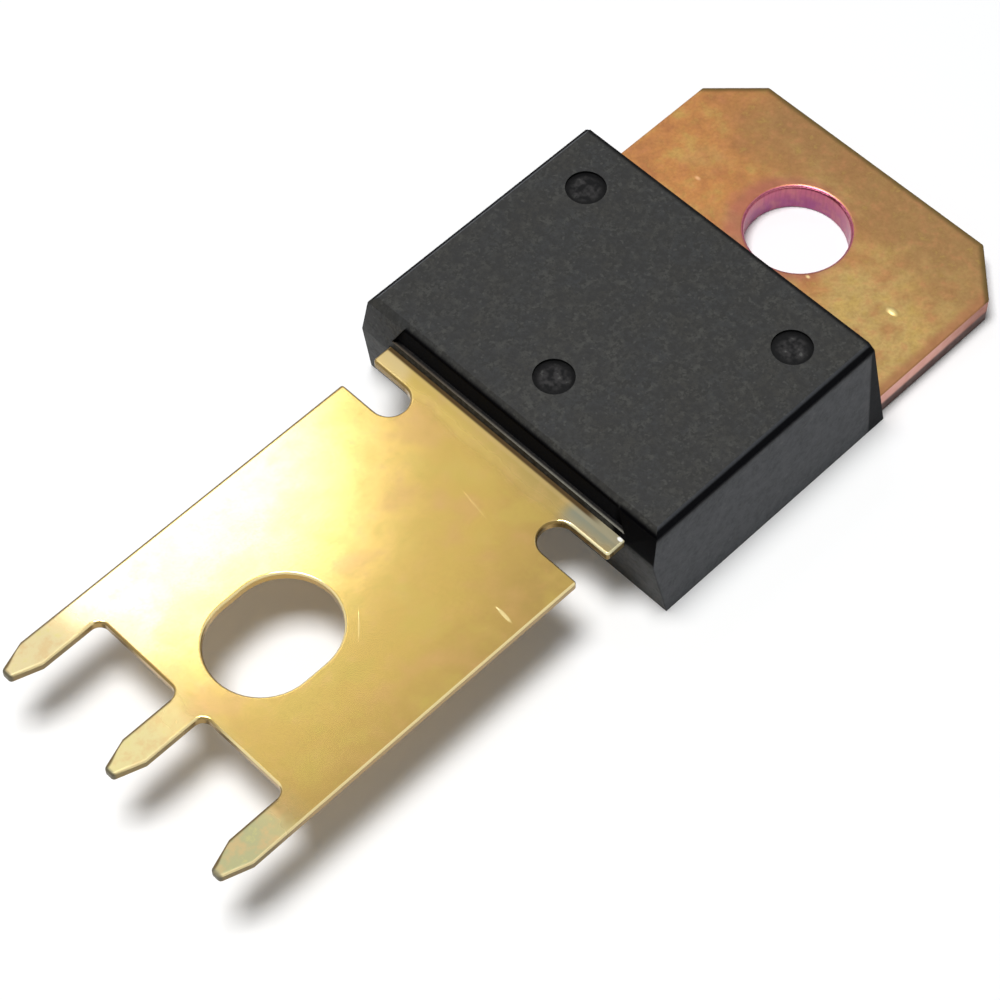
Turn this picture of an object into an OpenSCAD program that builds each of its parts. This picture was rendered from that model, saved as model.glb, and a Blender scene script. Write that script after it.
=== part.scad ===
// Flat power rectifier diode: a moulded body on a copper base tab, with a wide blade lead.
// Origin: centre of the tab's hole, on the seating face. +X runs towards the free end of the tab,
// +Z away from the seating face, and the lead leaves the body towards -X.

/* [Moulded body] */
// Length of the top face
body_len = 11.55; // [10.6:0.05:13]
// Thickness of plastic beside the tab, at the seating face
side_wall = 0.27; // [0.15:0.01:0.6]
// Height from the seating face to the top face
body_h = 5.05; // [4.8:0.05:5.8]
// Distance from the tab hole's centre to the top face's rear edge
hole_to_body = 4.4; // [4:0.05:5.5]
// Draft of the side walls, in degrees
side_draft = 5; // [2:0.5:7]
// Draft of the rear wall, in degrees
rear_draft = 8.5; // [3:0.5:10]
// Draft of the front wall above the parting line, in degrees
front_draft = 9; // [4:0.5:12]
// Slope back of the front wall below the parting line, in degrees
chin_draft = 10; // [3:0.5:12]
// Depth of the parting line below the lead's top face
parting_drop = 0.25; // [0.15:0.05:0.4]
// Bevel along the top face's front and side edges
top_bevel = 0.25; // [0.05:0.05:0.35]
// Height of the plastic lip that lies on the lead
lip_h = 0.3; // [0.1:0.05:0.4]
// Step in from each side of the blade to the lower corner of the recess
recess_in = 0.08; // [0.02:0.02:0.4]
// Setback of each recess corner at the top edge
recess_lean = 0.6; // [0.2:0.1:1]

/* [Ejector marks] */
// Diameter of each round mark in the top face
mark_d = 1.6; // [1:0.1:2.2]
// Depth of each mark
mark_depth = 0.12; // [0.05:0.01:0.2]
// Distance of the front mark from the top face's front edge
front_mark_in = 2.3; // [1.6:0.1:3.5]
// Distance of the rear marks from the top face's rear edge
rear_mark_in = 2.15; // [1.4:0.1:3]
// Distance of the rear marks from the top face's side edges
side_mark_in = 2.1; // [1.2:0.1:3]

/* [Base tab] */
// Thickness of the tab
tab_t = 1.3; // [1:0.05:1.6]
// Width of the tab
tab_w = 15.1; // [14.6:0.05:15.2]
// Distance from the hole's centre to the tab's free end
tab_end = 4.55; // [4:0.05:6]
// Length cut from each outer corner along both edges
tab_corner = 1.9; // [1.2:0.1:2.4]
// Diameter of the screw hole
hole_d = 4.2; // [3.6:0.1:4.6]
// Bevel round the hole's upper rim
hole_bevel = 0.1; // [0.05:0.05:0.2]
// Step in from each side of the tab to the side of the pad under the body
pad_step = 1.15; // [0.95:0.05:2]
// Distance of the pad's front end behind the top face's front edge
pad_in = 1.3; // [1:0.1:2.5]
// Width of the flange that locks the pad into the plastic, on each side
lock_w = 0.4; // [0.2:0.05:0.6]
// Thickness of the locking flange
lock_t = 0.55; // [0.3:0.05:0.7]
// Length of full tab width that the plastic grips
grip_len = 0.3; // [0.2:0.05:0.5]

/* [Blade lead] */
// Width of the blade, whose outer pins lie flush with its sides
blade_w = 12.15; // [11.6:0.05:12.4]
// Thickness of the lead
lead_t = 0.45; // [0.4:0.05:0.6]
// Height of the lead's underside above the seating face
lead_z = 3.05; // [2.8:0.05:3.2]
// Distance from the top face's front edge to the pin tips
lead_len = 19.45; // [18:0.05:22]
// Length of the pins
pin_len = 3.8; // [3:0.1:5]
// Width of each pin
pin_w = 1.25; // [1:0.05:1.4]
// Number of pins, spaced evenly across the blade
pin_count = 3; // [2:1:4]
// Width of each pin's blunt tip
tip_w = 0.42; // [0.3:0.02:0.8]
// Length of each pin's taper
tip_len = 1.2; // [0.8:0.1:2]
// Radius in each corner between a pin and the blade
root_r = 0.4; // [0.2:0.05:0.6]
// Length of the oblong screw slot
slot_len = 5.3; // [4.8:0.1:6]
// Width of the oblong screw slot
slot_w = 4.3; // [3.6:0.1:4.6]
// Distance from the pins' roots back to the slot's centre
slot_in = 3.9; // [3.6:0.1:6]
// Width of the notch in each side of the neck
notch_w = 1.55; // [1.1:0.05:2]
// Distance from the top face's front edge to the notches' centre
notch_x = 1.9; // [1.8:0.05:3]
// Width of the neck left between the two notches
neck_w = 7.2; // [6:0.2:9]
// Radius of the neck's outer corners
neck_r = 0.15; // [0.1:0.05:0.4]
// Length of the lead inside the body
post_len = 2.4; // [2:0.1:3]
// Step in from each side of the blade to the side of the lead inside the body
post_step = 0.85; // [0.5:0.05:1.5]
// Thickness of plastic in front of the lead's shoulders
shoulder_in = 0.7; // [0.4:0.05:0.9]

/* [Die and wires] */
// Side of the square silicon die
die_size = 6.4; // [5.2:0.1:7]
// Thickness of the die
die_t = 0.3; // [0.2:0.05:0.4]
// Thickness of the solder under the die
solder_t = 0.08; // [0.05:0.01:0.15]
// Rim of solder left round the die
solder_rim = 0.25; // [0.1:0.05:0.4]
// Distance from the top face's rear edge to the die's centre
die_in = 4.6; // [4.2:0.1:5.2]
// Number of bond wires
wire_count = 5; // [3:1:7]
// Diameter of each bond wire
wire_d = 0.38; // [0.25:0.01:0.5]
// Distance of the outer wires' feet from the die's sides
wire_margin = 0.65; // [0.3:0.05:1]
// Length of each bonded foot
foot_len = 0.9; // [0.6:0.1:1.2]
// Thickness of each bonded foot
foot_t = 0.18; // [0.12:0.02:0.26]
// Rise of each wire's loop above the straight line between its feet
loop_rise = 1.1; // [0.8:0.05:1.2]

/* [Hidden] */
$fn = 64;
body_w = tab_w + 2 * side_wall - 2 * body_h * tan(side_draft);
body_rear_x = -hole_to_body;
body_front_x = body_rear_x - body_len;
lead_top_z = lead_z + lead_t;
lip_z = lead_top_z + lip_h;
parting_z = lead_top_z - parting_drop;
recess_w = blade_w - 2 * recess_in;
blade_front_x = body_front_x - lead_len + pin_len;
slot_x = blade_front_x + slot_in;
post_w = blade_w - 2 * post_step;
pin_pitch = (blade_w - pin_w) / (pin_count - 1);
over = 1;
pad_w = tab_w - 2 * pad_step;
pad_front_x = body_front_x + pad_in;
die_x = body_rear_x - die_in;
die_bottom_z = tab_t + solder_t;
die_top_z = die_bottom_z + die_t;
grip_x = body_rear_x + (body_h - tab_t) * tan(rear_draft) - grip_len;
foot_spread = 1.25;
foot_w = foot_spread * wire_d;
wire_gap = (die_size - 2 * wire_margin - foot_w) / (wire_count - 1);
lead_foot_x = body_front_x + shoulder_in + foot_len / 2;
arc_overrun = 9;
WIRES = [for (i = [1 : wire_count]) str("bond_wire_", i)];

function pin_y(i) = (i - (pin_count - 1) / 2) * pin_pitch;

// Side view of the body, extruded across its width
module side_profile() {
    rear_foot_x = body_rear_x + body_h * tan(rear_draft);
    parting_x = body_front_x - (body_h - parting_z) * tan(front_draft);
    chin_x = parting_x + parting_z * tan(chin_draft);
    bevel_z = body_h - top_bevel;
    polygon([
        [body_front_x + top_bevel, body_h],
        [body_front_x - top_bevel * tan(front_draft), bevel_z],
        [parting_x, parting_z],
        [chin_x, 0],
        [rear_foot_x, 0],
        [body_rear_x, body_h]
    ]);
}

// Front view of the body, extruded along its length
module end_profile() {
    top_y = body_w / 2;
    foot_y = top_y + body_h * tan(side_draft);
    bevel_y = top_y + top_bevel * tan(side_draft);
    polygon([
        [-foot_y, 0],
        [foot_y, 0],
        [bevel_y, body_h - top_bevel],
        [top_y - top_bevel, body_h],
        [-top_y + top_bevel, body_h],
        [-bevel_y, body_h - top_bevel]
    ]);
}

module body_block() {
    reach = body_len + 4 * over;
    intersection() {
        rotate([90, 0, 0])
            linear_extrude(body_w + 4 * over, center = true)
                side_profile();
        translate([body_rear_x + 2 * over, 0, 0])
            rotate([90, 0, -90])
                linear_extrude(reach)
                    end_profile();
    }
}

// Shallow recess over the lead: its ends lean in towards the top edge
module front_recess() {
    low_y = recess_w / 2;
    high_y = low_y - recess_lean;
    translate([body_front_x, 0, 0])
        rotate([90, 0, -90])
            linear_extrude(over)
                polygon([
                    [-low_y, lip_z],
                    [low_y, lip_z],
                    [high_y, body_h],
                    [high_y, body_h + over],
                    [-high_y, body_h + over],
                    [-high_y, body_h]
                ]);
}

module ejector_mark(x, y) {
    translate([x, y, body_h - mark_depth])
        cylinder(d = mark_d, h = mark_depth + over);
}

module moulded_body() {
    color([0.22, 0.22, 0.22])
        difference() {
            body_block();
            front_recess();
            ejector_mark(body_front_x + front_mark_in, 0);
            for (side = [-1, 1])
                ejector_mark(body_rear_x - rear_mark_in, side * (body_w / 2 - side_mark_in));
            base_tab();
            anode_lead();
            silicon_die();
            die_solder();
            for (i = [1 : wire_count])
                bond_wire(i);
        }
}

module tab_outline() {
    polygon([
        [grip_x, -tab_w / 2],
        [tab_end - tab_corner, -tab_w / 2],
        [tab_end, -tab_w / 2 + tab_corner],
        [tab_end, tab_w / 2 - tab_corner],
        [tab_end - tab_corner, tab_w / 2],
        [grip_x, tab_w / 2]
    ]);
}

module pad(width, front_x) {
    translate([front_x, -width / 2])
        square([grip_x - front_x + over / 2, width]);
}

// Screw hole, bevelled at its upper rim
module screw_hole() {
    translate([0, 0, -over])
        cylinder(d = hole_d, h = tab_t + 2 * over);
    translate([0, 0, tab_t - hole_bevel])
        cylinder(d1 = hole_d, d2 = hole_d + 2 * hole_bevel, h = hole_bevel);
}

module base_tab() {
    color([0.72, 0.5, 0.3])
        difference() {
            union() {
                linear_extrude(tab_t)
                    tab_outline();
                linear_extrude(tab_t)
                    pad(pad_w, pad_front_x);
                translate([0, 0, tab_t - lock_t])
                    linear_extrude(lock_t)
                        pad(pad_w + 2 * lock_w, pad_front_x - lock_w);
            }
            screw_hole();
        }
}

// Space between two neighbouring pins, with both of its inner corners rounded
module pin_gap(y) {
    gap_w = pin_pitch - pin_w;
    translate([blade_front_x, y]) {
        translate([-pin_len - over, -gap_w / 2])
            square([pin_len + over - root_r, gap_w]);
        translate([-2 * root_r, root_r - gap_w / 2])
            square([2 * root_r, gap_w - 2 * root_r]);
        for (side = [-1, 1])
            translate([-root_r, side * (gap_w / 2 - root_r)])
                circle(r = root_r);
    }
}

// Metal cut away beside a pin's blunt tip
module tip_cut(y, side) {
    half_w = pin_w / 2;
    translate([blade_front_x - pin_len, y])
        scale([1, side])
            polygon([
                [tip_len, half_w],
                [0, tip_w / 2],
                [-over, tip_w / 2],
                [-over, half_w + over],
                [tip_len, half_w + over]
            ]);
}

module neck_notch(side) {
    notch_r = notch_w / 2;
    centre_y = neck_w / 2 + notch_r;
    translate([body_front_x - notch_x, side * centre_y])
        scale([1, side])
            union() {
                circle(r = notch_r);
                translate([-notch_r, 0])
                    square([notch_w, blade_w]);
            }
}

module screw_slot() {
    half_run = (slot_len - slot_w) / 2;
    translate([slot_x, 0])
        union() {
            for (end = [-1, 1])
                translate([end * half_run, 0])
                    circle(d = slot_w);
            square([2 * half_run, slot_w], center = true);
        }
}

// Square piece that rounds a convex corner of the neck when it is cut away
module corner_cut(x, side) {
    translate([x, side * blade_w / 2])
        scale([1, side])
            difference() {
                translate([-over, -neck_r])
                    square([neck_r + over, neck_r + over]);
                translate([neck_r, -neck_r])
                    circle(r = neck_r);
                translate([neck_r, -neck_r - over])
                    square([over, 2 * over + neck_r]);
            }
}

module lead_outline() {
    tip_x = blade_front_x - pin_len;
    difference() {
        union() {
            translate([tip_x, -blade_w / 2])
                square([body_front_x + shoulder_in - tip_x, blade_w]);
            translate([blade_front_x, -post_w / 2])
                square([body_front_x + post_len - blade_front_x, post_w]);
        }
        for (i = [0 : pin_count - 2])
            pin_gap((pin_y(i) + pin_y(i + 1)) / 2);
        for (i = [0 : pin_count - 1])
            for (side = [-1, 1])
                tip_cut(pin_y(i), side);
        screw_slot();
        for (side = [-1, 1]) {
            neck_notch(side);
            corner_cut(body_front_x - notch_x + notch_w / 2, side);
        }
    }
}

module anode_lead() {
    color([0.85, 0.72, 0.38])
        translate([0, 0, lead_z])
            linear_extrude(lead_t)
                lead_outline();
}

module silicon_die() {
    color([0.45, 0.47, 0.52])
        translate([die_x - die_size / 2, -die_size / 2, die_bottom_z])
            cube([die_size, die_size, die_t]);
}

module die_solder() {
    side = die_size + 2 * solder_rim;
    color([0.7, 0.7, 0.72])
        translate([die_x - side / 2, -side / 2, tab_t])
            cube([side, side, solder_t]);
}

// Flattened foot of a bond wire, lying on a face at height z
module wire_foot(x, z) {
    translate([x - foot_len / 2, -foot_w / 2, z])
        cube([foot_len, foot_w, foot_t]);
}

// Round wire bent to one arc through two points of the XZ plane, run past both by arc_overrun degrees
module wire_loop(start, end, rise) {
    chord = norm(end - start);
    radius = (chord * chord / 4 + rise * rise) / (2 * rise);
    half_angle = asin(chord / (2 * radius)) + arc_overrun;
    slope = atan2(end[1] - start[1], end[0] - start[0]);
    centre = (start + end) / 2 + (radius - rise) * [sin(slope), -cos(slope)];
    translate([centre[0], 0, centre[1]])
        rotate([90, 0, 0])
            rotate([0, 0, 90 + slope - half_angle])
                rotate_extrude(angle = 2 * half_angle)
                    translate([radius, 0])
                        circle(d = wire_d);
}

// Space below a bonding face, where a wire's bent ends stop
module below_face(x, length, z) {
    translate([x, -wire_d, z - 2 * over])
        cube([length, 2 * wire_d, 2 * over]);
}

// Bond wire number i, counted from the -Y side
module bond_wire(i) {
    lead_point = [lead_foot_x + foot_len / 2, lead_top_z];
    die_point = [die_x - foot_len / 2, die_top_z];
    color([0.85, 0.85, 0.87])
        translate([0, (i - (wire_count + 1) / 2) * wire_gap, 0])
            difference() {
                union() {
                    wire_foot(lead_foot_x, lead_top_z);
                    wire_foot(die_x, die_top_z);
                    wire_loop(lead_point, die_point, loop_rise);
                }
                below_face(body_front_x, post_len, lead_top_z);
                below_face(die_x - die_size / 2, die_size, die_top_z);
            }
}

moulded_body();
base_tab();
anode_lead();
silicon_die();
die_solder();
for (i = [1 : wire_count])
    bond_wire(i);
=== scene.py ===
"""Looks of the rectifier diode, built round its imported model.

The frame is the part's own: the origin is the centre of the tab's hole on the seating face, +X points
to the tab's free end and +Z up. Left is +Y and right is -Y, as seen from the pins. Lengths are written
in millimetres, and MM turns them into metres.
"""

import math

import bmesh
import bpy
from mathutils import Matrix, Vector


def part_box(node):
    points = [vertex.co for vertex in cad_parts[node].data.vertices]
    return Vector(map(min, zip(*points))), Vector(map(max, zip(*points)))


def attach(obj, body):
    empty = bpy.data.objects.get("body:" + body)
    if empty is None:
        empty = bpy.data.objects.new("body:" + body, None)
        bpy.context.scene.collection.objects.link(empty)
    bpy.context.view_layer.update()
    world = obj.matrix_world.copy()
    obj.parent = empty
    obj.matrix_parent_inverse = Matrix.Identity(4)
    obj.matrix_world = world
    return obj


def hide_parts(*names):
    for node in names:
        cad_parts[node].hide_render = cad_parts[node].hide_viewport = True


MM = 0.001
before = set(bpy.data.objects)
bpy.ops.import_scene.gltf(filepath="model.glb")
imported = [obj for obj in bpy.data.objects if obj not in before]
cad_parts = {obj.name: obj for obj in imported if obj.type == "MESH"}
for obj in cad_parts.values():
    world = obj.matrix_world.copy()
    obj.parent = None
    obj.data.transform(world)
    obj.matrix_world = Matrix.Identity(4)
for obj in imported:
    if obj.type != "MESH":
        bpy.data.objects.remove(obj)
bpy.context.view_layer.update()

# ---------------------------------------------------------------- places on the part, in millimetres

# the body's top face, and the recess over the lead
TOP_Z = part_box("moulded_body")[1][2] / MM
FRONT_X = -15.95
REAR_X = -4.4
# the recess's ends lean inwards: along them, |y| + LEAN * z is RECESS_EDGE
LEAN = 0.48
RECESS_EDGE = 7.82
# the plastic lip on the lead, and where it meets the lead
LIP_TOP_Z = 3.8
LIP_X = -16.2
# the round ejector marks
MARK_R = 0.8
MARKS = ((-13.65, 0.0), (-6.55, -5.28), (-6.55, 5.28))
# the lead
LEAD_TOP_Z = 3.5
BLADE_SIDE = 6.075
BLADE_END = -31.6
NOTCH_X = -17.85
SLOT_CENTRE = (-27.7, 0.0)
# the pins: their pitch, half widths at the root and the tip, and where they taper
PITCH = 5.45
PIN_HALF, TIP_HALF = 0.625, 0.21
TAPER_X, TIP_X = -34.2, -35.4
# the tab
TAB_END = 4.55
TAB_SIDE = 7.55
TAB_CORNER = 1.9
TAB_TOP_Z = 1.3
HOLE_R = 2.1

# ---------------------------------------------------------------- colours


def shade(red, green, blue):
    """A colour written as it shows on screen, from 0 to 255, as the linear colour that nodes take."""
    return tuple((c / 255) ** 2.2 for c in (red, green, blue)) + (1.0,)


def scaled(colour, factor):
    """A linear colour made lighter or darker."""
    return tuple(factor * c for c in colour[:3]) + (1.0,)


WHITE = (1.0, 1.0, 1.0, 1.0)
NEARLY_BLACK = (0.05, 0.05, 0.06, 1.0)

# ---------------------------------------------------------------- node trees


class Nodes:
    """A node tree and short ways to add to it.

    An input is a number, a colour, a vector or another node's output.
    """

    def __init__(self, owner):
        """owner is a new material or world."""
        owner.use_nodes = True
        self.tree = owner.node_tree
        self.tree.nodes.clear()

    def join(self, value, socket):
        """Links an output to the socket, or sets a plain value on it."""
        if isinstance(value, bpy.types.NodeSocket):
            self.tree.links.new(value, socket)
        else:
            socket.default_value = value

    def add(self, kind, inputs=None, **settings):
        node = self.tree.nodes.new(kind)
        for key, value in settings.items():
            setattr(node, key, value)
        for key, value in (inputs or {}).items():
            self.join(value, node.inputs[key])
        return node

    def maths(self, operation, *values):
        return self.add("ShaderNodeMath", dict(enumerate(values)), operation=operation).outputs[0]

    def vector(self, operation, inputs, output="Vector"):
        return self.add("ShaderNodeVectorMath", inputs, operation=operation).outputs[output]

    def axes(self, vector):
        """The X, Y and Z of a vector."""
        return tuple(self.add("ShaderNodeSeparateXYZ", {0: vector}).outputs)

    def ramp(self, factor, low, high, peak=1.0, base=0.0):
        """base where factor is low, peak where it is high, and eased between them."""
        inputs = {"Value": factor, "From Min": low, "From Max": high, "To Min": base, "To Max": peak}
        return self.add("ShaderNodeMapRange", inputs, interpolation_type="SMOOTHSTEP").outputs[0]

    def mix(self, factor, a, b):
        """Colour a where factor is 0, and b where it is 1."""
        return self.add("ShaderNodeMix", {0: factor, 6: a, 7: b}, data_type="RGBA").outputs[2]

    def chain(self, operation, values):
        result, *others = values
        for value in others:
            result = self.maths(operation, result, value)
        return result

    def times(self, *factors):
        """The product of several masks or numbers."""
        return self.chain("MULTIPLY", factors)

    def most(self, *masks):
        """The greatest of several masks."""
        return self.chain("MAXIMUM", masks)


class Surface(Nodes):
    """A new material whose shader is already joined to the output."""

    def __init__(self, name):
        self.material = bpy.data.materials.new(name)
        super().__init__(self.material)
        self.shader = self.add("ShaderNodeBsdfPrincipled")
        self.add("ShaderNodeOutputMaterial", {"Surface": self.shader.outputs[0]})

    def feed(self, **inputs):
        """Joins each input to the shader's socket of that name; _ stands for a space."""
        for key, value in inputs.items():
            self.join(value, self.shader.inputs[key.replace("_", " ")])


ANY_HEIGHT = 1000.0


class Look(Surface):
    """A surface of the part. Its colour is painted in layers that follow x, y and z, in millimetres."""

    def __init__(self, name):
        super().__init__(name)
        coords = self.add("ShaderNodeTexCoord").outputs["Object"]
        self.place = self.vector("SCALE", {0: coords, "Scale": 1 / MM})
        self.x, self.y, self.z = self.axes(self.place)
        self.colour = None

    def noise(self, size, detail=2.0, roughness=0.6, stretch=None):
        """Noise from 0 to 1 whose grains are about size millimetres across."""
        place = self.vector("MULTIPLY", {0: self.place, 1: stretch}) if stretch else self.place
        inputs = {"Vector": place, "Scale": 1 / size, "Detail": detail, "Roughness": roughness}
        return self.add("ShaderNodeTexNoise", inputs).outputs[0]

    def wavy(self, value, noise, swing, spread=0.2):
        """value moved by up to swing either way, as a noise goes from 0.5 - spread to 0.5 + spread."""
        return self.maths("ADD", value, self.ramp(noise, 0.5 - spread, 0.5 + spread, swing, -swing))

    def facing(self, axis):
        """How far the surface faces along an axis, from -1 to 1."""
        normal = self.add("ShaderNodeNewGeometry").outputs["Normal"]
        return self.axes(normal)["XYZ".index(axis)]

    def away_from(self, x, y):
        """Distance in millimetres from the upright line through x and y."""
        flat = self.vector("MULTIPLY", {0: self.place, 1: (1.0, 1.0, 0.0)})
        return self.vector("DISTANCE", {0: flat, 1: (x, y, 0.0)}, "Value")

    def spot(self, centre, half_size, turn=0.0, rim=0.5):
        """1 in an ellipse seen from above, which is turned by degrees, and 0 outside it."""
        inputs = {
            "Vector": self.place,
            "Location": (*centre, 0.0),
            "Rotation": (0.0, 0.0, math.radians(turn)),
            "Scale": (*half_size, ANY_HEIGHT),
        }
        local = self.add("ShaderNodeMapping", inputs, vector_type="TEXTURE").outputs[0]
        return self.ramp(self.vector("LENGTH", {0: local}, "Value"), 1.0, 1.0 - rim)

    def edge_mask(self, width):
        """1 on edges that stick out or turn, within width millimetres of them, and 0 on flats."""
        rounded = self.add("ShaderNodeBevel", {"Radius": width * MM}, samples=6).outputs[0]
        flat = self.add("ShaderNodeNewGeometry").outputs["Normal"]
        turn = self.vector("DOT_PRODUCT", {0: rounded, 1: flat}, "Value")
        return self.ramp(self.maths("SUBTRACT", 1.0, turn), 0.02, 0.25)

    def upper_rounding(self):
        """1 on the roundings of upper edges, and 0 on flats and on the lower edges."""
        up = self.facing("Z")
        return self.times(self.ramp(up, 0.99, 0.9), self.ramp(up, 0.04, 0.25))

    def paint(self, mask, tone):
        """Lays a tone over the colour where mask is 1."""
        self.colour = self.mix(mask, self.colour, tone)

    def bumps(self, layers):
        """One normal from several (height, strength, depth in millimetres) layers."""
        normal = None
        for height, strength, depth in layers:
            inputs = {"Height": height, "Strength": strength, "Distance": depth * MM}
            if normal:
                inputs["Normal"] = normal
            normal = self.add("ShaderNodeBump", inputs).outputs[0]
        return normal

    def finish(self, roughness, layers, **others):
        """Feeds the shader with the painted colour and the bump layers, and gives the material."""
        self.feed(Base_Color=self.colour, Roughness=roughness, Normal=self.bumps(layers), **others)
        return self.material


# ---------------------------------------------------------------- the plastic


def painted_shade_mask(look, upright, sideways):
    """1 where painted shade makes the body look quite black.

    That is on the front wall over the recess and right of it, on top of the sides, along the rear edge
    and along the edges of upright faces.
    """
    x, y, z = look.x, look.y, look.z
    forward = look.ramp(look.facing("X"), -0.1, -0.3)
    right_of_recess = look.times(
        look.ramp(y, -5.25, -5.6),
        look.ramp(x, FRONT_X + 0.27, FRONT_X + 0.17),
        look.ramp(z, LEAD_TOP_Z - 0.3, LEAD_TOP_Z),
    )
    # the band over the recess reaches a little further back towards the left
    slant = look.maths("SUBTRACT", x, look.times(y, 0.0148))
    leaning = look.maths("ADD", look.maths("ABSOLUTE", y), look.times(z, LEAN))
    over_recess = look.times(
        look.ramp(slant, FRONT_X + 0.22, FRONT_X + 0.09),
        look.ramp(leaning, RECESS_EDGE + 0.03, RECESS_EDGE - 0.03),
        look.ramp(z, TOP_Z - 0.35, TOP_Z - 0.27),
    )
    below_top = look.ramp(z, TOP_Z - 0.05, TOP_Z - 0.21)
    front = look.times(look.most(right_of_recess, over_recess), forward, below_top)
    side_top = look.times(
        sideways,
        look.ramp(z, TOP_Z - 0.03, TOP_Z - 0.12),
        look.ramp(z, TOP_Z - 0.6, TOP_Z - 0.27),
    )
    not_forward = look.ramp(look.facing("X"), -0.1, 0.0)
    rear = look.times(look.ramp(x, REAR_X - 0.22, REAR_X - 0.06), not_forward)
    edge = look.times(look.edge_mask(0.14), upright)
    return look.most(front, look.times(side_top, 0.95), look.times(rear, 0.8), look.times(edge, 0.7))


def moulding(name, warm, cool, roughness, gloss, contrast):
    """Black moulding compound in two tones: fine matte grain, faint specks and flow mottling, with
    painted light on upright faces and painted shade on edges and over the recess.
    """
    look = Look(name)
    cloud = look.noise(1.6, detail=4.0, roughness=0.65)
    mottle = look.noise(0.45, detail=3.0)
    grain = look.noise(0.16)
    speck = look.ramp(look.noise(0.2, detail=1.0, roughness=0.5), 0.64, 0.74)
    light = scaled([w + c for w, c in zip(warm, cool)], 1.4)
    dark = scaled(warm, 0.3)
    look.colour = look.mix(look.ramp(cloud, 0.35, 0.65), warm, cool)
    # painted light: upright faces are painted lighter
    upright = look.ramp(look.facing("Z"), 0.7, 0.3)
    look.paint(upright, scaled(cool, 1.35))
    look.paint(look.ramp(mottle, 0.46, 0.72, 0.56 * contrast), light)
    look.paint(look.ramp(mottle, 0.5, 0.28, 0.6 * contrast), dark)
    look.paint(look.ramp(grain, 0.6, 0.38, 0.5 * contrast), dark)
    look.paint(look.times(speck, 0.4 * contrast), light)
    # painted light: the sides are painted lighter and bluish
    sideways = look.ramp(look.maths("ABSOLUTE", look.facing("Y")), 0.35, 0.5)
    look.paint(look.times(sideways, 0.4), shade(72, 75, 82))
    # painted shade: the body is painted black here, and loses its reflection there
    black = painted_shade_mask(look, upright, sideways)
    look.paint(black, shade(8, 8, 10))
    return look.finish(
        look.most(look.ramp(mottle, 0.3, 0.7, roughness + 0.08, roughness - 0.08), black),
        [(mottle, 0.3, 0.04), (grain, 0.4, 0.015)],
        Specular_Tint=look.mix(black, WHITE, NEARLY_BLACK),
        Specular_IOR_Level=gloss,
    )


def marked_moulding():
    """The round ejector marks: a dark ring round a paler, swirled middle."""
    look = Look("moulding_marks")
    middle_size = (MARK_R * 0.9, MARK_R * 0.9)
    middle = look.most(*(look.spot(centre, middle_size, rim=0.45) for centre in MARKS))
    swirl = look.noise(0.35, roughness=0.5)
    grain = look.noise(0.14)
    look.colour = look.mix(look.ramp(swirl, 0.36, 0.6), shade(12, 12, 13), shade(56, 55, 55))
    look.paint(look.ramp(swirl, 0.62, 0.7, 0.8), shade(92, 92, 90))
    look.colour = look.mix(middle, shade(7, 7, 8), look.colour)
    look.paint(look.ramp(grain, 0.6, 0.35, 0.4), shade(6, 6, 7))
    return look.finish(
        look.ramp(swirl, 0.3, 0.7, 0.75, 0.55),
        [(swirl, 0.5, 0.05), (grain, 0.4, 0.015)],
        Specular_IOR_Level=0.12,
    )


def lip_moulding():
    """The plastic lip on the lead: a painted shadow line below, a pale band painted as light above, and
    painted shade at the back of its top.
    """
    look = Look("moulding_lip")
    waves = look.noise(0.9, detail=3.0)
    grain = look.noise(0.12)
    height = look.wavy(look.z, waves, 0.02)
    # painted light: a pale band on the lip's front, paler to the right
    lit_band = look.mix(look.ramp(look.y, 5.0, -5.0), shade(84, 76, 66), shade(128, 126, 116))
    # a painted shadow line where the lip meets the lead, under the pale band
    above_shadow_line = look.ramp(height, LEAD_TOP_Z + 0.03, LEAD_TOP_Z + 0.1)
    look.colour = look.mix(above_shadow_line, shade(44, 30, 24), lit_band)
    # painted shade on the back of the lip's top
    behind = look.times(
        look.ramp(look.x, LIP_X + 0.07, LIP_X + 0.17),
        look.ramp(look.z, LIP_TOP_Z - 0.1, LIP_TOP_Z - 0.02),
    )
    look.paint(behind, shade(14, 14, 15))
    look.paint(look.ramp(grain, 0.6, 0.35, 0.25), shade(60, 54, 50))
    return look.finish(
        look.ramp(grain, 0.3, 0.7, 0.6, 0.45),
        [(waves, 0.3, 0.03), (grain, 0.4, 0.015)],
        Specular_IOR_Level=0.15,
    )


# ---------------------------------------------------------------- the golden lead


def tone_by_lip(look, patch):
    """The plating near the plastic, painted with the reflections and shade it shows: darker on the right,
    grey at its right end and pale at its left.
    """
    x, y = look.x, look.y
    tone = look.mix(look.ramp(y, 3.0, -3.4), shade(200, 172, 92), shade(170, 146, 86))
    tone = look.mix(look.ramp(patch, 0.45, 0.7, 0.4), tone, shade(200, 164, 106))
    right_end = look.ramp(y, -3.3, -4.0)
    tone = look.mix(look.times(right_end, 0.95), tone, shade(132, 134, 116))
    left_end = look.spot((-16.9, 5.5), (0.9, 1.3))
    tone = look.mix(look.times(left_end, 0.7), tone, shade(214, 192, 142))
    # a cream band, and the lip's dark shadow line
    tone = look.mix(look.ramp(x, LIP_X - 0.4, LIP_X - 0.28, 0.2), tone, shade(216, 188, 138))
    shadow = look.times(look.ramp(x, LIP_X - 0.22, LIP_X - 0.12), look.ramp(y, -5.2, -4.2))
    return look.mix(shadow, tone, shade(82, 64, 38))


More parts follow.
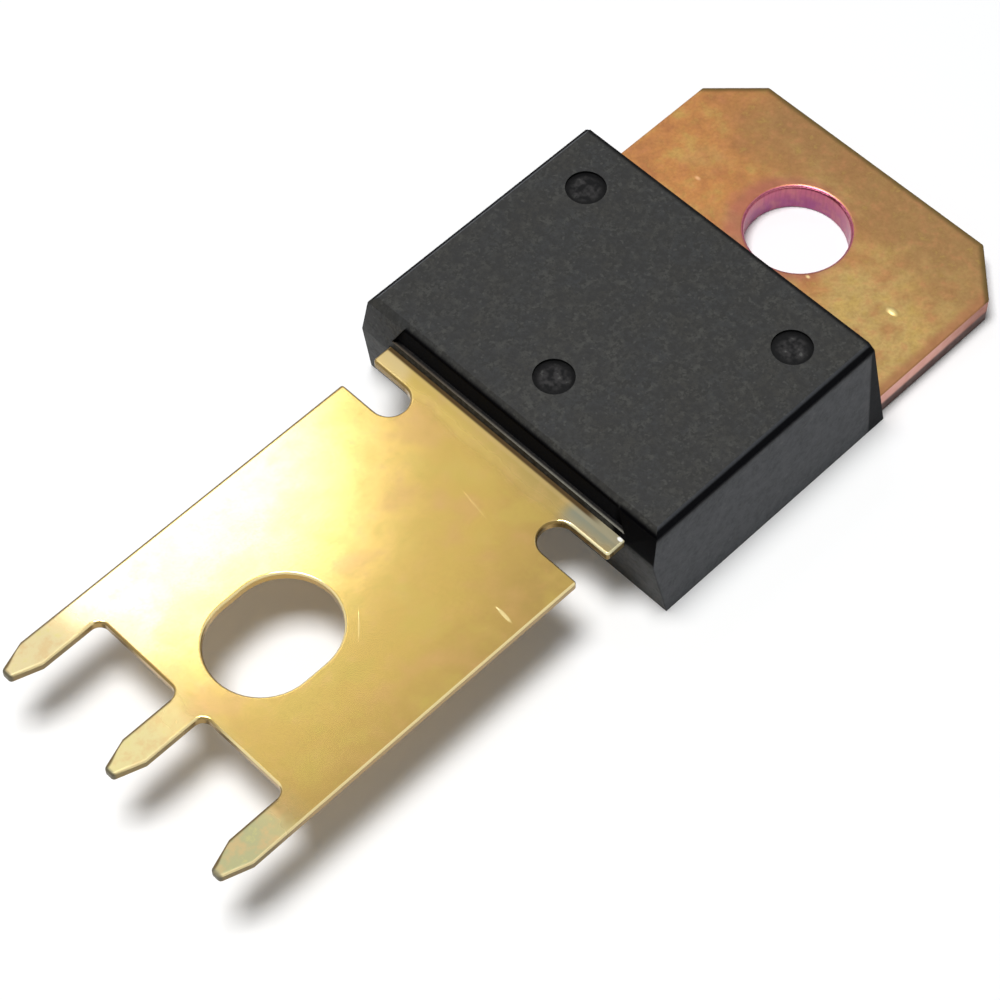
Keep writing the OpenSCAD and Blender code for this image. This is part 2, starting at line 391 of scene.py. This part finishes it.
def tone_of_pins(look, patch):
    """The plating of the pins, with painted shade that makes the right one darkest."""
    tone = look.mix(look.ramp(look.y, 4.6, 1.0), shade(214, 198, 148), shade(214, 200, 142))
    tone = look.mix(look.ramp(look.y, -1.0, -4.6), tone, shade(166, 163, 120))
    tone = look.mix(look.ramp(patch, 0.45, 0.65, 0.45), tone, shade(206, 164, 112))
    return look.mix(look.ramp(patch, 0.45, 0.3, 0.45), tone, shade(210, 200, 116))


def tone_of_rim(look, face_x, face_y):
    """The rolled upper edges: painted dark as shade in some places, and pale as highlights elsewhere.

    They are painted dark where they face the body or left, in the right notch and between the left pins.
    """
    x, y = look.x, look.y
    beyond_slot = look.ramp(look.away_from(*SLOT_CENTRE), 2.8, 3.0)
    in_right_notch = look.times(
        look.ramp(x, NOTCH_X - 0.75, NOTCH_X - 0.45),
        look.ramp(face_y, -0.15, -0.4),
        look.ramp(y, -5.3, -4.9),
    )
    dark = look.most(
        look.ramp(face_x, 0.2, 0.5),
        look.times(beyond_slot, look.ramp(face_y, 0.15, 0.4)),
        in_right_notch,
        look.times(beyond_slot, look.ramp(face_x, -0.15, -0.4), look.ramp(y, -2.5, -0.5)),
    )
    by_neck = look.ramp(x, NOTCH_X - 0.65, NOTCH_X + 0.35)
    pale = look.mix(by_neck, shade(244, 224, 166), shade(248, 238, 190))
    return look.mix(dark, pale, shade(124, 102, 60))


def left_shade_line(look, face_z):
    """1 on a thin painted shade line along the blade's left edge and along the left edge of each pin."""
    x, y = look.x, look.y
    across_pin = look.maths("WRAP", y, PITCH / 2, -PITCH / 2)
    half_pin = look.ramp(x, TIP_X, TAPER_X, PIN_HALF, TIP_HALF)
    near_edge = look.ramp(look.maths("SUBTRACT", across_pin, half_pin), -0.16, -0.07)
    on_pins = look.ramp(x, BLADE_END - 0.3, BLADE_END - 0.5)
    at_side = look.ramp(y, BLADE_SIDE - 0.175, BLADE_SIDE - 0.155)
    before_notch = look.ramp(x, NOTCH_X - 0.35, NOTCH_X - 0.75)
    upward = look.ramp(face_z, 0.0, 0.2)
    return look.times(near_edge, look.most(on_pins, at_side), before_notch, upward)


def gold_plate():
    """Bright golden plating on rolled strip: faint rolling lines, scratches and rolled edges, with
    painted reflections, highlights and shade.
    """
    look = Look("lead_gold")
    x, y = look.x, look.y
    face_x, face_y, face_z = (look.facing(axis) for axis in "XYZ")
    cloud = look.noise(2.4, detail=3.0)
    tarnish = look.noise(1.9, roughness=0.5)
    patch = look.noise(0.7, detail=4.0, roughness=0.65)
    rolled = look.noise(0.12, stretch=(0.06, 1.0, 1.0))
    grain = look.noise(0.12)
    # painted reflection: palest near the middle of the blade's left side and darker away from it
    away = look.wavy(look.away_from(-26.9, 9.7), cloud, 0.35, spread=0.25)
    look.colour = look.mix(look.ramp(away, 8.0, 12.6), shade(255, 212, 121), shade(212, 178, 98))
    look.paint(look.ramp(away, 13.0, 17.5), shade(185, 153, 90))
    # a painted highlight, paler near the left pin
    highlight_by_left_pin = look.times(look.ramp(x, -28.5, -31.0, 0.7), look.ramp(y, 1.0, 4.0))
    look.paint(highlight_by_left_pin, shade(255, 222, 152))
    # reddish and greenish patches, and fine grain
    look.paint(look.ramp(tarnish, 0.5, 0.68, 0.4), shade(214, 168, 112))
    look.paint(look.ramp(tarnish, 0.5, 0.32, 0.4), shade(208, 184, 98))
    look.paint(look.ramp(patch, 0.5, 0.75, 0.25), shade(214, 168, 116))
    look.paint(look.ramp(patch, 0.46, 0.28, 0.2), shade(206, 186, 98))
    look.paint(look.ramp(grain, 0.6, 0.3, 0.12), shade(180, 145, 80))
    # near the lip the reflections and shade are painted into the plating's colour
    by_lip = look.ramp(look.wavy(x, cloud, 0.15), LIP_X - 1.4, LIP_X - 0.2)
    look.paint(by_lip, tone_by_lip(look, patch))
    # the pins' tones carry painted shade too
    pins = look.ramp(look.wavy(x, cloud, 0.3), BLADE_END + 0.4, BLADE_END - 1.7)
    look.paint(pins, tone_of_pins(look, patch))
    scratch = look.most(
        look.spot((-21.42, -5.2), (0.09, 0.5), turn=-6.0),
        look.times(look.spot((-25.35, -1.9), (0.7, 0.04), turn=46.0), 0.4),
        look.times(look.spot((-18.9, -1.2), (0.9, 0.04), turn=80.0), 0.2),
    )
    look.paint(look.times(scratch, 0.7), shade(255, 236, 170))
    # painted highlights and shade on the rolled upper edges
    rim = look.upper_rounding()
    look.paint(look.times(rim, 0.85), tone_of_rim(look, face_x, face_y))
    shade_line = left_shade_line(look, face_z)
    # painted shade along the left edges
    look.paint(look.times(shade_line, 0.9), shade(98, 80, 50))
    # a painted glint at the lip's right end; sides darker, partly their sheared finish and partly painted
    # shade; the underside, and the pins' grey tips
    look.paint(look.spot((LIP_X - 0.07, -5.92), (0.1, 0.15)), shade(255, 255, 250))
    look.paint(look.times(look.ramp(face_z, 0.3, 0.05), 0.8), shade(134, 108, 60))
    look.paint(look.ramp(face_z, -0.5, -0.8), shade(208, 174, 112))
    look.paint(look.times(look.ramp(x, TIP_X + 0.18, TIP_X + 0.06), 0.8), shade(96, 94, 80))
    # where reflections and shade are painted, the plating is made less metallic and rougher
    painted_and_matt = look.most(by_lip, pins)
    matt = look.most(look.times(painted_and_matt, 0.85), look.times(rim, 0.4), shade_line)
    return look.finish(
        look.most(look.ramp(patch, 0.2, 0.8, 0.15, 0.12), look.times(painted_and_matt, 0.4)),
        [(rolled, 0.08, 0.002), (grain, 0.08, 0.002), (scratch, 0.4, 0.02)],
        Metallic=look.maths("SUBTRACT", 1.0, matt),
        Specular_IOR_Level=0.2,
    )


# ---------------------------------------------------------------- the copper tab


COS_45 = 0.707


def paint_tab_edges(look):
    """Painted shade round the free end and, reddish, along the right side; the sheared sides have a
    painted pink highlight above and painted shade below.
    """
    x, y, z = look.x, look.y, look.z
    from_end = look.maths("SUBTRACT", TAB_END, x)
    corner = look.maths("ADD", look.maths("ABSOLUTE", y), x)
    to_corner = look.maths("SUBTRACT", TAB_SIDE + TAB_END - TAB_CORNER, corner)
    from_corner = look.times(to_corner, COS_45)
    end_rim = look.ramp(look.maths("MINIMUM", from_end, from_corner), 0.32, 0.08)
    right_rim = look.ramp(look.maths("ADD", y, TAB_SIDE), 0.6, 0.15)
    # painted shade along the right side and round the free end
    look.paint(look.times(right_rim, 0.85), shade(154, 108, 76))
    look.paint(look.times(end_rim, 0.85), shade(92, 78, 48))
    # painted light on the sides: pink highlight above, shade below
    side = look.mix(look.ramp(x, 2.5, -1.0), shade(150, 92, 74), shade(206, 150, 136))
    side = look.mix(look.ramp(z, TAB_TOP_Z - 0.55, TAB_TOP_Z - 0.8), side, shade(74, 42, 34))
    look.paint(look.ramp(look.facing("Z"), 0.35, 0.15), side)


def tinted_copper():
    """Copper with a heat tint: orange on the left, olive on the right, and painted shade at the edges."""
    look = Look("tab_copper")
    x, y = look.x, look.y
    cloud = look.noise(2.0, detail=3.0)
    blotch = look.noise(1.1, detail=3.0)
    patch = look.noise(0.4, detail=3.0, roughness=0.65)
    grain = look.noise(0.14)
    across = look.wavy(y, cloud, 5.0, spread=0.25)
    look.colour = look.mix(look.ramp(across, 6.0, -5.5), shade(182, 127, 77), shade(176, 148, 94))
    look.paint(look.ramp(blotch, 0.46, 0.7, 0.6), shade(160, 106, 72))
    look.paint(look.ramp(blotch, 0.5, 0.3, 0.6), shade(184, 154, 88))
    # darker towards the free end, least on its left
    free_end = look.ramp(look.wavy(x, cloud, 0.8), 0.2, 3.4, 0.85)
    look.paint(look.times(free_end, look.ramp(y, 6.8, 4.0, 1.0, 0.2)), shade(148, 114, 76))
    look.paint(look.ramp(patch, 0.5, 0.75, 0.4), shade(174, 118, 84))
    look.paint(look.ramp(patch, 0.45, 0.25, 0.4), shade(184, 154, 86))
    look.paint(look.ramp(grain, 0.62, 0.34, 0.2), shade(128, 90, 62))
    # a pink tint round the hole, most on its left
    round_hole = look.ramp(look.away_from(-0.25, 0.3), HOLE_R + 0.8, HOLE_R + 0.1, 0.65)
    look.paint(round_hole, shade(158, 94, 84))
    paint_tab_edges(look)
    # dents, with painted highlights where they catch the light
    right_dent = look.spot((-0.4, -5.26), (0.19, 0.33), rim=0.9)
    middle_dent = look.spot((-1.45, -1.85), (0.1, 0.14), rim=0.9)
    left_dent = look.spot((-0.9, 4.5), (0.12, 0.2), rim=0.9)
    look.paint(look.times(right_dent, 0.85), shade(240, 220, 150))
    look.paint(look.times(middle_dent, 0.7), shade(246, 226, 160))
    look.paint(look.times(left_dent, 0.6), shade(240, 190, 140))
    return look.finish(
        look.ramp(patch, 0.3, 0.7, 0.46, 0.34),
        [(patch, 0.3, 0.02), (grain, 0.3, 0.01), (right_dent, 0.6, 0.05)],
        Metallic=1.0,
    )


def bored_copper():
    """The punched wall of the screw hole: magenta heat tint, with upright burnish lines."""
    look = Look("hole_wall_copper")
    lines = look.noise(0.1, stretch=(1.0, 1.0, 0.1))
    patch = look.noise(0.7)
    low = look.ramp(look.z, TAB_TOP_Z - 0.1, 0.3)
    look.colour = look.mix(low, shade(182, 100, 122), shade(148, 82, 122))
    look.paint(look.ramp(patch, 0.4, 0.7, 0.5), shade(190, 124, 118))
    look.paint(look.ramp(lines, 0.6, 0.35, 0.3), shade(124, 64, 84))
    return look.finish(look.ramp(lines, 0.3, 0.7, 0.42, 0.3), [(lines, 0.3, 0.01)], Metallic=1.0)


# ---------------------------------------------------------------- the inner pieces


def inner_metal(name, colour, roughness):
    """Plain metal of an inner piece: drawn grain and slight tarnish."""
    look = Look(name)
    grain = look.noise(0.1)
    look.colour = colour
    look.paint(look.ramp(grain, 0.35, 0.7, 0.4), scaled(colour, 0.7))
    return look.finish(
        look.ramp(grain, 0.3, 0.7, roughness + 0.06, roughness - 0.06),
        [(grain, 0.2, 0.01)],
        Metallic=1.0,
    )


# ---------------------------------------------------------------- pieces

WELD = 0.0005
FLAT_ANGLE = math.radians(0.3)
SHARP_ANGLE = math.radians(25)


def vertex_normal(vertex, roundings):
    """A normal that keeps flats flat: it counts only faces outside the roundings, where there are any."""
    faces = [f for f in vertex.link_faces if f not in roundings] or vertex.link_faces
    total = sum((f.normal * f.calc_area() for f in faces), Vector())
    return total.normalized()


def rounded_copy(node, name, radius, segments):
    """A new piece in a CAD node's place: its flats merged and its sharp edges rounded."""
    mesh = bpy.data.meshes.new(name)
    form = bmesh.new()
    form.from_mesh(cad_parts[node].data)
    for layer in list(form.loops.layers.float_vector.values()):
        form.loops.layers.float_vector.remove(layer)
    bmesh.ops.remove_doubles(form, verts=form.verts, dist=WELD * MM)
    bmesh.ops.dissolve_limit(form, angle_limit=FLAT_ANGLE, verts=form.verts, edges=form.edges)
    sharp = [e for e in form.edges if len(e.link_faces) == 2 and e.calc_face_angle() > SHARP_ANGLE]
    done = bmesh.ops.bevel(
        form,
        geom=sharp,
        offset=radius * MM,
        segments=segments,
        profile=0.5,
        affect="EDGES",
        clamp_overlap=True,
    )
    form.normal_update()
    roundings = set(done["faces"])
    normals = [vertex_normal(v, roundings) for v in form.verts]
    form.to_mesh(mesh)
    form.free()
    mesh.shade_smooth()
    mesh.normals_split_custom_set_from_vertices(normals)
    piece = bpy.data.objects.new(name, mesh)
    bpy.context.collection.objects.link(piece)
    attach(piece, "root")
    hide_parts(node)
    return piece


def dress(piece, *materials):
    piece.data.materials.clear()
    for material in materials:
        piece.data.materials.append(material)


body = rounded_copy("moulded_body", "body_moulding", 0.05, 2)
tab = rounded_copy("base_tab", "copper_tab", 0.2, 4)
lead = rounded_copy("anode_lead", "gold_blade_lead", 0.11, 3)

matte_tones = {"warm": shade(38, 37, 33), "cool": shade(36, 37, 37)}
# a black copy of the moulding for the recess's wall and ends: painted shade
shade_tones = {"warm": shade(10, 10, 12), "cool": shade(8, 9, 13)}
dress(
    body,
    moulding("moulding_matte", **matte_tones, roughness=0.6, gloss=0.34, contrast=1.7),
    moulding("moulding_painted_shade", **shade_tones, roughness=1.0, gloss=0.08, contrast=1.0),
    marked_moulding(),
    lip_moulding(),
)
dress(tab, tinted_copper(), bored_copper())
dress(lead, gold_plate())

# the places of these materials in their pieces' lists
MATTE, SHADED, MARK, LIP = range(4)
OUTSIDE, BORE = range(2)


def body_index(face):
    """The material that a face of the body takes."""
    x, y, z = face.center / MM
    off_middle = abs(y)
    below_top = TOP_Z - z
    on_top = FRONT_X + 0.95 < x < REAR_X - 0.6 and off_middle < 6.5
    if on_top and 0.03 < below_top < 0.24:
        return MARK
    by_front = FRONT_X - 0.35 < x < FRONT_X + 0.05
    if by_front and LEAD_TOP_Z - 0.05 < z < LIP_TOP_Z + 0.05 and off_middle < 6.0:
        return LIP
    # the recess's wall and ends take the black copy: painted shade
    recess_wall = abs(x - FRONT_X) < 0.05 and z > LIP_TOP_Z + 0.05 and below_top > 0.25
    recess_end = by_front and abs(face.normal.y) > 0.7 and 5.2 < off_middle < 6.1
    return SHADED if recess_wall or recess_end else MATTE


def tab_index(face):
    """The material that a face of the tab takes."""
    in_hole = math.hypot(face.center.x, face.center.y) / MM < HOLE_R + 0.12
    return BORE if in_hole and abs(face.normal.z) < 0.9 else OUTSIDE


for piece, index_of in ((body, body_index), (tab, tab_index)):
    for face in piece.data.polygons:
        face.material_index = index_of(face)

dress(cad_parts["silicon_die"], inner_metal("silicon", shade(125, 130, 142), 0.25))
dress(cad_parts["die_solder"], inner_metal("solder_alloy", shade(185, 185, 190), 0.45))
wire_metal = inner_metal("wire_aluminium", shade(222, 222, 226), 0.35)
for node_name, node_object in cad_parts.items():
    if node_name.startswith("bond_wire"):
        dress(node_object, wire_metal)

# ---------------------------------------------------------------- floor, light and camera

FLOOR_HALF = 900
FLOOR_TONE = (0.93, 0.93, 0.93, 1.0)
FLOOR_GLOW = (0.95, 1.0, 1.0, 1.0)
FLOOR_GLOW_LEVEL = 0.06


def make_floor():
    """A white floor level with the seating face. It glows faintly to the camera and in reflections."""
    mesh = bpy.data.meshes.new("floor")
    h = FLOOR_HALF * MM
    mesh.from_pydata([(-h, -h, 0), (h, -h, 0), (h, h, 0), (-h, h, 0)], [], [(0, 1, 2, 3)])
    floor = bpy.data.objects.new("floor", mesh)
    bpy.context.collection.objects.link(floor)
    white = Surface("floor_white")
    path = white.add("ShaderNodeLightPath")
    seen = white.most(path.outputs["Is Camera Ray"], path.outputs["Is Glossy Ray"])
    white.feed(Base_Color=FLOOR_TONE, Roughness=0.9, Specular_IOR_Level=0.0)
    white.feed(Emission_Color=FLOOR_GLOW, Emission_Strength=white.times(seen, FLOOR_GLOW_LEVEL))
    dress(floor, white.material)


def facing_along(place, target):
    """The turn that points a light or a camera from place to target."""
    return (Vector(target) - Vector(place)).to_track_quat("-Z", "Y")


def area_light(name, shape, place, target, size, level, tint=(1, 1, 1)):
    """A soft light. level is its brightness where a white wall in full room light is 1."""
    lamp = bpy.data.lights.new(name, "AREA")
    lamp.shape = shape
    lamp.size, lamp.size_y = size[0] * MM, size[1] * MM
    lamp.energy = level * math.pi * lamp.size * lamp.size_y
    lamp.color = tint
    thing = bpy.data.objects.new(name, lamp)
    bpy.context.collection.objects.link(thing)
    thing.location = Vector(place) * MM
    thing.rotation_euler = facing_along(place, target).to_euler()


# the room's light on matte surfaces, and the room as the camera and polished surfaces see it
ROOM_ABOVE = (0.12, 0.12, 0.115, 1)
ROOM_AROUND = (0.14, 0.15, 0.155, 1)
SEEN_ABOVE = (0.9, 0.9, 0.89, 1)
SEEN_AROUND = (0.9, 0.92, 0.94, 1)


def make_world():
    """A pale room, which is dimmer for matte surfaces, so that the lamps light them."""
    world = bpy.data.worlds.new("studio")
    sky = Nodes(world)
    up = sky.axes(sky.add("ShaderNodeTexCoord").outputs["Generated"])[2]
    height = sky.ramp(up, 0.0, 0.9)
    path = sky.add("ShaderNodeLightPath")
    seen = sky.most(
        path.outputs["Is Camera Ray"],
        path.outputs["Is Glossy Ray"],
        path.outputs["Is Transmission Ray"],
    )
    room = sky.mix(height, ROOM_AROUND, ROOM_ABOVE)
    colour = sky.mix(seen, room, sky.mix(height, SEEN_AROUND, SEEN_ABOVE))
    back = sky.add("ShaderNodeBackground", {"Color": colour, "Strength": 1.0})
    sky.add("ShaderNodeOutputWorld", {"Surface": back.outputs[0]})
    bpy.context.scene.world = world


CAMERA_PLACE = (-60.69, -44.98, 97.91)
CAMERA_TARGET = (-16.54, -0.08, 0.0)
CAMERA_ROLL = -0.504
CAMERA_LENS = 111.88


def make_camera():
    lens = bpy.data.cameras.new("camera")
    lens.lens = CAMERA_LENS
    lens.sensor_width = 36
    lens.clip_start = 0.005
    camera = bpy.data.objects.new("camera", lens)
    bpy.context.collection.objects.link(camera)
    aim = facing_along(CAMERA_PLACE, CAMERA_TARGET).to_matrix().to_4x4()
    roll = Matrix.Rotation(math.radians(CAMERA_ROLL), 4, "Z")
    camera.matrix_world = Matrix.Translation(Vector(CAMERA_PLACE) * MM) @ aim @ roll
    bpy.context.scene.camera = camera


make_floor()
make_world()
area_light(
    "key", "RECTANGLE", place=(-61, 30, 340), target=(-25, 0, 0), size=(126, 126), level=22.5
)
# the blade mirrors this one: it is bluish, so that gold shows it white
area_light(
    "softbox",
    "ELLIPSE",
    place=(118, 236, 400),
    target=(118, 236, 0),
    size=(70, 72),
    level=4.5,
    tint=(0.64, 0.75, 1.15),
)
make_camera()
bpy.context.scene.view_settings.view_transform = "Standard"
